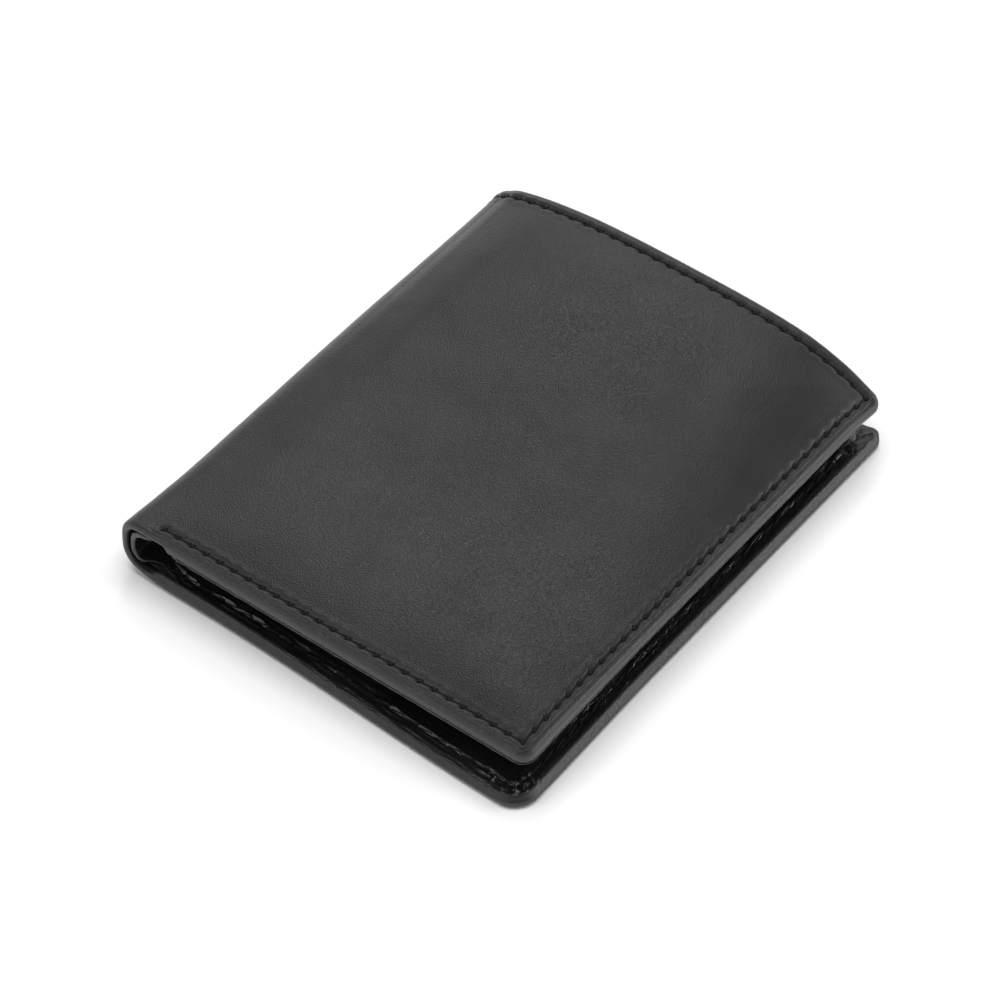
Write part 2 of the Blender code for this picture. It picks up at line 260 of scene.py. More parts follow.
def slanted_pits(u, v, holes, headings, length, width):
    """1 at each needle hole, falling away along and across a slot that leans to the seam."""
    deepest = np.zeros(np.shape(u))
    for place, heading in zip(holes, headings):
        turn = math.atan2(heading[1], heading[0]) + HOLE_LEAN
        across_u, across_v = u - place[0], v - place[1]
        along = across_u * math.cos(turn) + across_v * math.sin(turn)
        aside = across_v * math.cos(turn) - across_u * math.sin(turn)
        deepest = np.maximum(deepest, bump(np.hypot(along / length, aside / width), 1.0))
    return deepest


def distance_to_points(u, v, points):
    """Distance of each pattern point to the nearest of some points."""
    best = np.full(np.shape(u), 1.0)
    for place in points:
        best = np.minimum(best, np.hypot(u - place[0], v - place[1]))
    return best


# ---------------------------------------------------------------- mesh helpers

SHARP_ANGLE = math.radians(50)


def add_mesh(name, points, faces, material):
    """Put a mesh piece in the scene, smooth but for its sharp corners."""
    mesh = bpy.data.meshes.new(name)
    mesh.from_pydata([tuple(p) for p in points], [], faces)
    mesh.validate()
    builder = bmesh.new()
    builder.from_mesh(mesh)
    bmesh.ops.recalc_face_normals(builder, faces=builder.faces)
    builder.to_mesh(mesh)
    builder.free()
    mesh.shade_smooth()
    mesh.set_sharp_from_angle(angle=SHARP_ANGLE)
    mesh.materials.append(material)
    piece = bpy.data.objects.new(name, mesh)
    bpy.context.scene.collection.objects.link(piece)
    return piece


def grid_faces(base, columns, rows, flip=False):
    """Quads of a grid of points that starts at index base."""
    faces = []
    for i in range(columns - 1):
        for j in range(rows - 1):
            a = base + i * rows + j
            face = (a, a + rows, a + rows + 1, a + 1)
            faces.append(face[::-1] if flip else face)
    return faces


def border_loop(columns, rows):
    """Grid indices round the border, from the near spine corner past the open side."""
    loop = [i * rows for i in range(columns)]
    loop += [(columns - 1) * rows + j for j in range(1, rows)]
    loop += [i * rows + rows - 1 for i in range(columns - 2, -1, -1)]
    return loop


# ---------------------------------------------------------------- outer leather

# insets of the grid lines along each edge: over the rounded edge, its crease and the seam
EDGE_LINES = [inset * MM for inset in (0.5, 0.7, 0.9, 1.08, 1.25, 1.42, 1.6, 1.9, 2.25, 2.55, 2.8,
                                       3.0, 3.2, 3.45, 3.8, 4.4, 5.0, 5.5)]

# the turned edge's section from its outer face to its inner one: how far out in mm, and how deep
# as a share of its thickness
RIM = ((0.10, 0.045), (0.21, 0.10), (0.34, 0.19), (0.45, 0.33), (0.50, 0.50), (0.48, 0.67),
       (0.40, 0.81), (0.24, 0.92))
FAR_HEM = 7.8 * MM  # width of the far hem on the inner face

PILLOW = 1.7 * MM  # how far the front cover swells inside its seam
PILLOW_REACH = 9.0 * MM  # and over what distance, as a decay length
GROOVE = {"front": 0.12 * MM, "back": 0.34 * MM}  # how deep the seam sits
PIT = 0.5 * MM  # how deep the leather dips at a needle hole
PIT_LENGTH, PIT_WIDTH = 0.8 * MM, 0.46 * MM
CREASE = 0.22 * MM  # depth of the line pressed along the edge
CREASE_INSET = 1.25 * MM


def shell_lines(half):
    """Grid lines across the pattern (u) and along it (v), finest at the edges and seams."""
    step = PITCH / 8
    clear = EDGE_LINES[-1] + 0.3 * MM
    seam_u = half.open_u - SEAM_INSET
    inner = [seam_u - step * k for k in range(1, int(seam_u / step) + 1)]
    inner = [u for u in inner if 0.6 * MM < u < half.open_u - clear]
    columns = sorted([0.0, 0.1 * MM, 0.3 * MM] + inner + [half.open_u - e for e in EDGE_LINES])
    seam_v = NEAR_Y + SEAM_INSET
    middle = [seam_v + step * k for k in range(int((MOUTH_Y - NEAR_Y) / step))]
    middle = [v for v in middle if NEAR_Y + clear < v < MOUTH_Y - clear]
    rows = sorted([NEAR_Y + e for e in EDGE_LINES] + middle + [MOUTH_Y - e for e in EDGE_LINES])
    return np.array(columns), np.array(rows)


def outer_face_depth(half, u, v, square_u, square_v, pits=True):
    """Depth of the outer face: pillowed panel, sewn groove, holes, pressed crease and edge."""
    near, open_side, far = inset_of(half, square_u, square_v)
    inset = np.minimum(np.minimum(near, open_side), far)
    path = seam_path(half)
    holes, headings = holes_along(path)
    to_seam = distance_to_path(u, v, path)
    to_hole = distance_to_points(u, v, holes)
    sewn = smooth(square_u, path[0][0] - 4 * MM, path[0][0] + 2 * MM)
    sewn = np.maximum(sewn, smooth(far, 6 * MM, 4 * MM))
    depth = GROOVE[half.name] * bump(to_seam, 0.36 * MM)
    if half.side > 0:
        inside = np.maximum(0.0, inset - SEAM_INSET)
        clear_of_fold = smooth(square_u, half.u_of(-47 * MM), half.u_of(-32 * MM))
        depth = depth - PILLOW * (1.0 - np.exp(-inside / PILLOW_REACH)) * clear_of_fold
    if pits:
        depth = depth + PIT * slanted_pits(u, v, holes, headings, PIT_LENGTH, PIT_WIDTH)
    beside_hole = np.clip(1.0 - to_hole / (PITCH / 2), 0.0, 1.0)
    depth = depth - 0.17 * MM * (1.0 - beside_hole) * bump(to_seam - 1.0 * MM, 0.6 * MM) * sewn
    depth = depth - 0.08 * MM * bump(inset - 2.1 * MM, 0.5 * MM) * sewn
    closed_edge = np.minimum(near, open_side - 0.2 * MM)
    depth = depth + CREASE * bump(closed_edge - CREASE_INSET, 0.2 * MM) * sewn
    rounded = np.clip(1.0 - (inset - CONTOUR_INSET) / (0.6 * MM), 0.0, 1.0)
    depth = depth + 0.28 * MM * rounded ** 2 * (0.3 + 0.7 * sewn)
    depth = depth + 0.03 * MM * crinkle(u, v, 5, 7 * MM, 19 * MM)
    return depth if half.side > 0 else np.maximum(depth, 0.0)


def rim_depth(half, u, v):
    """Thickness of the turned edge: thick where the panels are sewn in, thin on the bare hem."""
    near, open_side, far = inset_of(half, u, v)
    edge = lip_depth(v) if half.side > 0 else RIM_DEPTH
    step_u = half.u_of(STEP_X[half.name])
    soft = 0.6 * MM if half.side > 0 else 2.4 * MM
    step = smooth(u, step_u - soft, step_u + soft)
    near_depth = BARE_HEM_DEPTH + (RIM_DEPTH - BARE_HEM_DEPTH) * step
    if half.side < 0:
        near_depth = near_depth * (1.0 - 0.24 * slimmer_share(half, u))
    far_depth = HEM_DEPTH + (edge - HEM_DEPTH) * smooth(open_side, 6 * MM, 1 * MM)
    depth = np.where(far < FAR_HEM + 0.8 * MM, far_depth, edge)
    depth = np.where((near < 4 * MM) & (near < open_side + 3 * MM), near_depth, depth)
    if half.side < 0:
        inwards = np.clip((np.minimum(near, open_side) - CONTOUR_INSET) / (1.0 * MM), 0.0, 1.0)
        depth = depth * (1.0 - 0.3 * step * (1.0 - inwards) ** 2)
    return depth


def slimmer_share(half, u):
    """The back half's near edge slims from the fold towards the open corner, and ends there."""
    along = smooth(u, half.u_of(-38 * MM), half.u_of(15 * MM))
    return along * smooth(half.open_u - u, 2 * MM, 9 * MM)


def lip_depth(v):
    """Thickness of the front half's turned edge, less beyond the near corner."""
    return RIM_DEPTH - 0.75 * MM * smooth(v, -50 * MM, -15 * MM)


def hem_creases(half, u, v):
    """Crossing creases where the back half's far hem and open edge fold over each other."""
    if half.side > 0:
        return np.zeros(np.shape(u))
    _, open_side, far = inset_of(half, u, v)
    reach = smooth(far, 8 * MM, 6 * MM) * smooth(open_side, 8.5 * MM, 6 * MM)
    reach = reach * smooth(np.minimum(far, open_side), 0.8 * MM, 1.6 * MM)
    ridges = 0.0
    for lean in (1.0, -1.0):
        across = (open_side + lean * far) / math.sqrt(2.0)
        ridges = ridges + (1.0 - np.abs(np.sin(math.pi * across / (2.2 * MM)))) ** 3
    return 0.24 * MM * ridges * reach


def make_shell(half, material):
    """The outer leather of a half: its outer face, its turned edge and its inner face."""
    columns, rows = shell_lines(half)
    square_u, square_v = np.meshgrid(columns, rows, indexing="ij")
    u, v = round_off(half, square_u, square_v)
    depth = outer_face_depth(half, u, v, square_u, square_v)
    outer = half.place(u, v, depth).reshape(-1, 3)
    near, open_side, far = inset_of(half, square_u, square_v)
    rim = rim_depth(half, square_u, square_v)
    flap = 1.0 - smooth(np.minimum(near, open_side), 1.6 * MM, 2.1 * MM)
    flap = np.maximum(flap, 1.0 - smooth(far, FAR_HEM, FAR_HEM + 0.9 * MM))
    under_depth = COVER + (rim - COVER) * flap + hem_creases(half, square_u, square_v)
    under = half.place(u, v, under_depth).reshape(-1, 3)
    column_count, row_count = square_u.shape
    points = [outer]
    faces = grid_faces(0, column_count, row_count)
    loop = border_loop(column_count, row_count)
    flat_u, flat_v = u.reshape(-1)[loop], v.reshape(-1)[loop]
    flat_rim = rim.reshape(-1)[loop]
    start_depth = depth.reshape(-1)[loop]
    direction = outward_directions(half, flat_u, flat_v, square_u.reshape(-1)[loop],
                                   square_v.reshape(-1)[loop])
    previous = loop
    base = len(outer)
    for out, down in RIM:
        ring_depth = start_depth + (flat_rim - start_depth) * down
        bulge = out * MM * (0.75 + 0.25 * flat_rim / RIM_DEPTH)
        ring = half.place(flat_u + direction[:, 0] * bulge, flat_v + direction[:, 1] * bulge,
                          ring_depth)
        points.append(ring)
        following = list(range(base, base + len(loop)))
        for k in range(len(loop) - 1):
            faces.append((previous[k], following[k], following[k + 1], previous[k + 1]))
        previous = following
        base += len(loop)
    under_base = base
    points.append(under)
    faces += grid_faces(under_base, column_count, row_count, flip=True)
    under_loop = [under_base + index for index in loop]
    for k in range(len(loop) - 1):
        faces.append((previous[k], under_loop[k], under_loop[k + 1], previous[k + 1]))
    # the cut across the middle of the spine, where the other half's shell begins
    ring_count = len(RIM)
    first = [loop[0]] + [len(outer) + n * len(loop) for n in range(ring_count)] + [under_loop[0]]
    last = [loop[-1]] + [len(outer) + n * len(loop) + len(loop) - 1 for n in range(ring_count)]
    last += [under_loop[-1]]
    for j in range(row_count - 1):
        faces.append((j, j + 1, under_base + j + 1, under_base + j))
    faces.append(tuple(first))
    faces.append(tuple(last[::-1]))
    return add_mesh(f"outer_leather_{half.name}", np.concatenate(points), faces, material)


def outward_directions(half, u, v, square_u, square_v):
    """Unit directions out of the pattern's border at each border point."""
    direction = np.zeros((len(u), 2))
    on_near = square_v < NEAR_Y + CONTOUR_INSET + 1e-7
    on_far = square_v > MOUTH_Y - CONTOUR_INSET - 1e-7
    on_open = square_u > half.open_u - CONTOUR_INSET - 1e-7
    direction[on_near] = (0.0, -1.0)
    direction[on_far] = (0.0, 1.0)
    direction[on_open] = (1.0, 0.0)
    for radius, edge_v, outward in ((half.near_radius, NEAR_Y, -1.0), (half.far_radius, MOUTH_Y, 1.0)):
        centre_u, centre_v = half.open_u - radius, edge_v - outward * radius
        corner = (square_u > centre_u) & ((square_v - centre_v) * outward > 0)
        away = np.stack([u - centre_u, v - centre_v], axis=1)
        length = np.maximum(np.linalg.norm(away, axis=1), 1e-9)[:, None]
        direction = np.where(corner[:, None], away / length, direction)
    return direction


# ---------------------------------------------------------------- thin inner layers


def sheet_lines(start, end, step, fine, fine_step):
    """Grid lines from start to end: dense in the rounded edge and for the fine width beyond it."""
    edge = [0.0, 0.08 * MM, 0.2 * MM, 0.4 * MM, 0.7 * MM]
    reach = max(1.0 * MM, fine)
    edge += list(np.arange(1.0 * MM, reach, fine_step))
    count = max(1, round((end - start - 2 * reach) / step))
    inner = [start + reach + (end - start - 2 * reach) * k / count for k in range(count + 1)]
    lines = [start + e for e in edge] + inner + [end - e for e in edge]
    return np.array(sorted(lines))


def make_sheet(name, half, u_range, v_range, depth_at, thickness, material, follow=0.0,
               corner=3.0 * MM, step=2.0 * MM, fine=0.0, fine_step=0.5 * MM, relief=None, slide=None):
    """A layer with rounded edges. depth_at gives its outward face, relief what its inward face
    gains in depth, slide how far its points move along v, and follow is as for Half.place."""
    columns = sheet_lines(*u_range, step, max(fine, corner), fine_step)
    rows = sheet_lines(*v_range, step, max(fine, corner), fine_step)
    square_u, square_v = np.meshgrid(columns, rows, indexing="ij")
    u, v = round_off(half, square_u, square_v, v_range[0], v_range[1], (corner, corner), u_range[1])
    inset = np.minimum(square_v - v_range[0], v_range[1] - square_v)
    inset = np.minimum(inset, u_range[1] - square_u)
    if u_range[0] > 0.0:
        inset = np.minimum(inset, square_u - u_range[0])
    rolled = np.clip(1.0 - inset / (0.4 * MM), 0.0, 1.0)
    half_thickness = thickness / 2 * (0.25 + 0.75 * np.sqrt(1.0 - rolled ** 2))
    middle = depth_at(u, v) + thickness / 2
    extra = relief(u, v) if relief else 0.0
    if slide:
        v = v + slide(u, v)
    outer = half.place(u, v, middle - half_thickness, follow).reshape(-1, 3)
    inner = half.place(u, v, middle + half_thickness + extra, follow).reshape(-1, 3)
    column_count, row_count = square_u.shape
    count = len(outer)
    faces = grid_faces(0, column_count, row_count)
    faces += grid_faces(count, column_count, row_count, flip=True)
    spine_side = list(range(row_count - 2, -1, -1))
    loop = border_loop(column_count, row_count) + spine_side
    for one, other in zip(loop[:-1], loop[1:]):
        faces.append((one, other, other + count, one + count))
    return add_mesh(name, np.concatenate([outer, inner]), faces, material)


# ---------------------------------------------------------------- pockets

CLOTH_THICKNESS = 0.2 * MM
WALL_THICKNESS = 0.5 * MM
PANEL_DEPTH = 2.65 * MM
PANEL_THICKNESS = 0.5 * MM
POCKET_LINING_DEPTH = 4.1 * MM
STRIP_THICKNESS = 0.7 * MM
STRIP_DEPTH = 4.6 * MM
STRIP_RISE = 1.25 * MM
WINDOW_DEPTH = 5.1 * MM
WINDOW_BORDER = 6.5 * MM
INNER_SEAM_INSET = SEAM_INSET + 0.6 * MM
PANEL_MOUTH_V = MOUTH_Y - 6.5 * MM


def flat_at(depth):
    """A level layer's depth, as a function of its place."""
    return lambda u, v: depth + 0.0 * u


def lining_depth(u, v):
    """The lining lies on the leather, and a little looser beyond the fold."""
    return 1.6 * MM + 0.25 * MM * smooth(u, ARC - 4 * MM, ARC + 2 * MM)


def wall_depth(u, v):
    """The banknote compartment's inner wall lies close inside the lining."""
    return 2.05 * MM + 0.05 * MM * smooth(u, ARC - 4 * MM, ARC + 2 * MM)


def wall_relief(u, v):
    """The wall is bunched up in the fold, and so thicker."""
    return 0.65 * MM * (1.0 - smooth(u, ARC - 3.5 * MM, ARC))


def tucked_in(start_u, end_u, amount, reach):
    """How far a near edge is tucked in along v: not at all at start_u, by the whole amount at
    end_u, and ever less over a reach inwards from the edge."""
    def slide(u, v):
        return amount * smooth(u, start_u, end_u) * (1.0 - smooth(v, NEAR_Y, NEAR_Y + reach))
    return slide


def panel_depth(half):
    """The inner panel lies flat, and its border is pressed into the turned edge."""
    def depth(u, v):
        inset = np.minimum(half.open_u - u, v - NEAR_Y)
        if half.side > 0:
            border = lip_depth(v) - 0.05 * MM
            return PANEL_DEPTH + (border - PANEL_DEPTH) * (1.0 - smooth(inset, 0.9 * MM, 2.6 * MM))
        drop = 0.35 * MM + 0.4 * MM * slimmer_share(half, u)
        return PANEL_DEPTH - drop * (1.0 - smooth(inset, 1.3 * MM, 4.5 * MM))
    return depth


def strip_boxes(half):
    """The card strips of a half in order, as (node, x range, y range)."""
    found = []
    for name in frame["nodes"]:
        if name.startswith(f"{half.name}_card_slot_"):
            low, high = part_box(name)
            found.append((name, (low.x, high.x), (low.y, high.y)))
    return sorted(found)


def strip_depth(half, bottom, mouth):
    """A strip leans off the layer behind it, from its foot to its mouth, and its sewn sides are
    drawn down to the panel."""
    def depth(u, v):
        share = np.clip((v - bottom) / (mouth - bottom), 0.0, 1.0)
        foot = 1.0 - smooth(v - NEAR_Y, 4 * MM, 10 * MM)
        sewn_side = 1.0 - smooth(half.open_u - u, 4 * MM, 9 * MM)
        return STRIP_DEPTH + STRIP_RISE * share - 1.1 * MM * np.maximum(foot, sewn_side)
    return depth


def strip_relief(mouth, seed):
    """The creased line below a strip's mouth, and the faint print of cards behind it."""
    def relief(u, v):
        line = -0.12 * MM * bump(mouth - v - 1.6 * MM, 0.22 * MM)
        wave = 0.05 * MM * crinkle(u, v, seed, 9 * MM, 26 * MM)
        return line + wave
    return relief


def panel_relief(half, seed):
    """The sewn line, its puckers, and on the back half the pleats gathered at the near corner."""
    path = seam_path(half, INNER_SEAM_INSET)
    holes, _ = holes_along(path)

    def relief(u, v):
        to_seam = distance_to_path(u, v, path)
        to_hole = distance_to_points(u, v, holes)
        depth = -0.22 * MM * bump(to_seam, 0.6 * MM) - 0.3 * MM * bump(to_hole, 0.6 * MM)
        outside = smooth(to_seam, 3.5 * MM, 0.8 * MM)
        wavy = np.sin(2 * math.pi * to_seam / (1.3 * MM) + 2.2 * crinkle(u, v, seed, 5 * MM, 13 * MM))
        depth = depth + 0.13 * MM * wavy * outside
        depth = depth + 0.08 * MM * crinkle(u, v, seed + 1, 1.8 * MM, 6 * MM)
        if half.side < 0:
            centre_u, centre_v = half.open_u - 9 * MM, NEAR_Y + 9 * MM
            away = np.hypot(u - centre_u, v - centre_v)
            turn = np.arctan2(centre_v - v, u - centre_u)
            reach = smooth(away, 3.5 * MM, 7 * MM) * smooth(turn, -0.15, 0.1) * smooth(turn, 1.75, 1.5)
            pleat = np.abs(np.sin(11.0 * turn + 1.4 * crinkle(u, v, seed + 2, 6 * MM, 12 * MM)))
            depth = depth + 0.6 * MM * (1.0 - pleat) ** 1.2 * reach
        return depth
    return relief


def make_window_frame(name, half, low, high, material):
    """A sewn leather frame round the clear window, as rings from the opening to the outer edge."""
    def outline(border, radius, count=6):
        x0, x1, y0, y1 = low.x + border, high.x - border, low.y + border, high.y - border
        points = []
        corners = ((x1 - radius, y0 + radius, -90), (x1 - radius, y1 - radius, 0),
                   (x0 + radius, y1 - radius, 90), (x0 + radius, y0 + radius, 180))
        for centre_x, centre_y, first in corners:
            for step in range(count + 1):
                turn = math.radians(first + 90 * step / count)
                points.append((centre_x + radius * math.cos(turn), centre_y + radius * math.sin(turn)))
        return np.array(points)

    inner, outer = outline(WINDOW_BORDER, 2 * MM), outline(0.0, 1.5 * MM)
    width = np.linalg.norm(outer - inner, axis=1).mean()
    across = [0.0, 0.03, 0.08, 0.16, 0.22, 0.26, 0.30, 0.38, 0.5, 0.62, 0.74, 0.84, 0.92, 0.97, 1.0]
    rings, faces = [], []
    for face_side in (-1, 1):
        for share in across:
            place = inner + (outer - inner) * share
            rolled = max(0.0, 1.0 - min(share, 1.0 - share) * width / (0.4 * MM))
            offset = STRIP_THICKNESS / 2 * (0.25 + 0.75 * math.sqrt(1.0 - rolled ** 2))
            if face_side > 0:
                offset -= 0.14 * MM * float(bump(share * width - 1.7 * MM, 0.25 * MM))
            depth = WINDOW_DEPTH + STRIP_THICKNESS / 2 + face_side * offset
            rings.append(half.place(half.u_of(place[:, 0]), place[:, 1], depth, 0.0))
    count, ring_count = len(inner), len(across)
    order = list(range(ring_count)) + list(range(2 * ring_count - 1, ring_count - 1, -1))
    for one, other in zip(order, order[1:] + order[:1]):
        for k in range(count):
            nxt = (k + 1) % count
            faces.append((one * count + k, one * count + nxt, other * count + nxt, other * count + k))
    return add_mesh(name, np.concatenate(rings), faces, material)


# ---------------------------------------------------------------- thread

THREAD_RADIUS = 0.15 * MM
STITCH_SLANT = 0.25 * MM
STITCH_SINK = 0.42 * MM
STITCH_RINGS = 9
STITCH_SIDES = 8
# the hole plugs are near-black slots flush with the leather: the thread in each hole, and painted shade
# standing in for the hole's depth
PLUG_LENGTH, PLUG_WIDTH, PLUG_DEPTH = 1.3 * MM, 0.6 * MM, 0.5 * MM
PLUG_SIDES = 12


def strand(half, start, end, surface, inward, follow):
    """One stitch: it leaves one hole, lies along the leather and goes down the next hole."""
    leg = end - start
    length = float(np.hypot(*leg))
    forward = leg / length
    aside = np.array([-forward[1], forward[0]])
    share = np.linspace(0.0, 1.0, STITCH_RINGS)
    line = start + np.outer(share, leg) + np.outer((share - 0.5) * 2 * STITCH_SLANT, aside)
    lie = np.clip(np.minimum(share, 1.0 - share) * length / (0.7 * MM), 0.0, 1.0)
    rise = STITCH_SINK + THREAD_RADIUS * 0.45
    height = rise * np.sqrt(1.0 - (1.0 - lie) ** 2) - STITCH_SINK
    face = surface(line[:, 0], line[:, 1])
    rings = []
    for k in range(STITCH_SIDES):
        turn = 2 * math.pi * k / STITCH_SIDES
        u = line[:, 0] + aside[0] * THREAD_RADIUS * math.cos(turn)
        v = line[:, 1] + aside[1] * THREAD_RADIUS * math.cos(turn)
        depth = face - inward * (height + THREAD_RADIUS * 0.8 * math.sin(turn))
        if half.side < 0:
            depth = np.maximum(depth, 0.0)  # pressed flat where the wallet lies on its seam
        rings.append(half.place(u, v, depth, follow))
    points = np.stack(rings, axis=1).reshape(-1, 3)
    faces = []
    for i in range(STITCH_RINGS - 1):
        for k in range(STITCH_SIDES):
            a, b = i * STITCH_SIDES + k, i * STITCH_SIDES + (k + 1) % STITCH_SIDES
            faces.append((a, b, b + STITCH_SIDES, a + STITCH_SIDES))
    faces.append(tuple(range(STITCH_SIDES - 1, -1, -1)))
    faces.append(tuple((STITCH_RINGS - 1) * STITCH_SIDES + k for k in range(STITCH_SIDES)))
    return points, faces


def thread_and_shade_plug(half, place, forward, surface):
    """A dark slot in a needle hole, cut at a slant to the seam: partly the thread that fills the hole,
    partly painted shade of the hole's depth.
    """
    turn = math.atan2(forward[1], forward[0]) + HOLE_LEAN
    along = np.array([math.cos(turn), math.sin(turn)])
    aside = np.array([-along[1], along[0]])
    rim = []
    for k in range(PLUG_SIDES):
        angle = 2 * math.pi * k / PLUG_SIDES
        reach = math.cos(angle) * PLUG_LENGTH / 2
        spread = math.sin(angle) * abs(math.sin(angle)) ** 0.3 * PLUG_WIDTH / 2
        rim.append(place + along * reach + aside * spread)
    rim = np.array(rim)
    points = [half.place(rim[:, 0], rim[:, 1], surface(rim[:, 0], rim[:, 1]) + sunk)
              for sunk in (0.0, PLUG_DEPTH)]
    faces = [tuple(range(PLUG_SIDES)), tuple(range(2 * PLUG_SIDES - 1, PLUG_SIDES - 1, -1))]
    for k in range(PLUG_SIDES):
        nxt = (k + 1) % PLUG_SIDES
        faces.append((k, nxt, PLUG_SIDES + nxt, PLUG_SIDES + k))
    return np.concatenate(points), faces


def make_seam(name, half, holes, surface, material, inward=1.0, follow=1.0, plugs=True):
    """A row of stitches from hole to hole. inward is 1 for a seam on the outer face, and -1 for
    one on an inner face."""
    points, faces = [], []

    def gather(new_points, new_faces):
        base = sum(len(p) for p in points)
        points.append(new_points)
        faces.extend(tuple(base + index for index in face) for face in new_faces)

    for start, end in zip(holes[:-1], holes[1:]):
        gather(*strand(half, start, end, surface, inward, follow))
    # near-black plugs in the holes: thread, and painted shade of each hole's depth
    if plugs:
        ahead = np.diff(holes, axis=0)
        ahead = np.concatenate([ahead, ahead[-1:]])
        for place, leg in zip(holes, ahead):
            gather(*thread_and_shade_plug(half, place, leg / np.hypot(*leg), surface))
    return add_mesh(name, np.concatenate(points), faces, material)


# ---------------------------------------------------------------- materials

WRINKLE_WARP = 1.9 * MM  # how far noise shifts the wrinkle lines


def new_material(name):
    """A material, its node tree, its shader, and the object coordinates its pattern is laid by."""
    material = bpy.data.materials.new(name)
    material.use_nodes = True
    tree = material.node_tree
    coordinates = tree.nodes.new("ShaderNodeTexCoord").outputs["Object"]
    return material, tree, tree.nodes["Principled BSDF"], coordinates


def noise(tree, scale, detail, rough, vector):
    """Noise with so many cells a metre."""
    node = tree.nodes.new("ShaderNodeTexNoise")
    node.inputs["Scale"].default_value = scale
    node.inputs["Detail"].default_value = detail
    node.inputs["Roughness"].default_value = rough
    tree.links.new(vector, node.inputs["Vector"])
    return node


def ramp(tree, value, low, high, first, last):
    """Spread a value's range from low to high over first to last."""
    node = tree.nodes.new("ShaderNodeMapRange")
    node.inputs["From Min"].default_value = low
    node.inputs["From Max"].default_value = high
    node.inputs["To Min"].default_value = first
    node.inputs["To Max"].default_value = last
    tree.links.new(value, node.inputs["Value"])
    return node.outputs["Result"]


def colour_between(tree, shader, share, dark, light):
    """Base colour from dark to light as a share goes from 0 to 1."""
    node = tree.nodes.new("ShaderNodeMix")
    node.data_type = "RGBA"
    node.inputs["A"].default_value = (*dark, 1.0)
    node.inputs["B"].default_value = (*light, 1.0)
    tree.links.new(share, node.inputs["Factor"])
    tree.links.new(node.outputs["Result"], shader.inputs["Base Color"])


def add_bump(tree, height, strength, distance, normal=None):
    """Relief over an earlier relief, if there is one; distance is its full height in metres."""
    node = tree.nodes.new("ShaderNodeBump")
    node.inputs["Strength"].default_value = strength
    node.inputs["Distance"].default_value = distance
    tree.links.new(height, node.inputs["Height"])
    if normal is not None:
        tree.links.new(normal, node.inputs["Normal"])
    return node.outputs["Normal"]


def voronoi(tree, scale, vector, feature="F1"):
    """Cells, with so many a metre."""
    node = tree.nodes.new("ShaderNodeTexVoronoi")
    node.feature = feature
    node.inputs["Scale"].default_value = scale
    tree.links.new(vector, node.inputs["Vector"])
    return node


def leather_material(name, dark, light, rough_low, rough_high, pebble, wrinkle):
    """Smooth leather: fine pebbled grain, hair-fine wrinkles in patches, slow tone variation."""
    material, tree, shader, coordinates = new_material(name)
    pores = voronoi(tree, 3100.0, coordinates)
    fine = noise(tree, 5600.0, 2.0, 0.6, coordinates)
    cloud = noise(tree, 70.0, 4.0, 0.55, coordinates)
    warp = noise(tree, 260.0, 3.0, 0.6, coordinates)
    warped = tree.nodes.new("ShaderNodeVectorMath")
    warped.operation = "MULTIPLY_ADD"
    warped.inputs[1].default_value = (WRINKLE_WARP,) * 3
    tree.links.new(warp.outputs["Color"], warped.inputs[0])
    tree.links.new(coordinates, warped.inputs[2])
    lines = voronoi(tree, 640.0, warped.outputs["Vector"], "DISTANCE_TO_EDGE")
    crease = ramp(tree, lines.outputs["Distance"], 0.0, 0.09, 0.0, 1.0)
    share = ramp(tree, cloud.outputs["Fac"], 0.35, 0.68, 0.0, 1.0)
    colour_between(tree, shader, share, dark, light)
    roughness = ramp(tree, fine.outputs["Fac"], 0.3, 0.7, rough_low, rough_high)
    tree.links.new(roughness, shader.inputs["Roughness"])
    patches = noise(tree, 30.0, 2.0, 0.5, coordinates)
    worn = tree.nodes.new("ShaderNodeMath")
    worn.operation = "MULTIPLY"
    tree.links.new(crease, worn.inputs[0])
    tree.links.new(ramp(tree, patches.outputs["Fac"], 0.5, 0.66, 0.0, 1.0), worn.inputs[1])
    normal = add_bump(tree, worn.outputs["Value"], wrinkle, 0.00006)
    normal = add_bump(tree, pores.outputs["Distance"], pebble, 0.00007, normal)
    normal = add_bump(tree, fine.outputs["Fac"], pebble * 0.6, 0.00004, normal)
    tree.links.new(normal, shader.inputs["Normal"])
    shader.inputs["Specular IOR Level"].default_value = 0.5
    return material


def diagonal_ribs(tree, scale, distortion, vector):
    """Slanting ribs, as of plied thread or twill."""
    node = tree.nodes.new("ShaderNodeTexWave")
    node.bands_direction = "DIAGONAL"
    node.inputs["Scale"].default_value = scale
    node.inputs["Distortion"].default_value = distortion
    tree.links.new(vector, node.inputs["Vector"])
    return node


def thread_material():
    """Waxed black thread, its plies showing as fine slanting ribs."""
    material, tree, shader, coordinates = new_material("waxed_thread")
    ply = diagonal_ribs(tree, 900.0, 1.5, coordinates)
    colour_between(tree, shader, ply.outputs["Fac"], (0.002, 0.002, 0.002), (0.012, 0.012, 0.013))
    tree.links.new(add_bump(tree, ply.outputs["Fac"], 0.6, 0.00005), shader.inputs["Normal"])
    shader.inputs["Roughness"].default_value = 0.6
    shader.inputs["Specular IOR Level"].default_value = 0.25
    return material


def fabric_material():
    """Fine twill: slanting ribs under a little fuzz."""
    material, tree, shader, coordinates = new_material("lining_twill")
    ribs = diagonal_ribs(tree, 1500.0, 0.6, coordinates)
    fuzz = noise(tree, 4000.0, 2.0, 0.6, coordinates)
    colour_between(tree, shader, ribs.outputs["Fac"], (0.006, 0.006, 0.007), (0.016, 0.016, 0.018))
    normal = add_bump(tree, ribs.outputs["Fac"], 0.5, 0.00008)
    normal = add_bump(tree, fuzz.outputs["Fac"], 0.3, 0.00005, normal)
    tree.links.new(normal, shader.inputs["Normal"])
    shader.inputs["Roughness"].default_value = 0.75
    shader.inputs["Sheen Weight"].default_value = 0.15
    return material


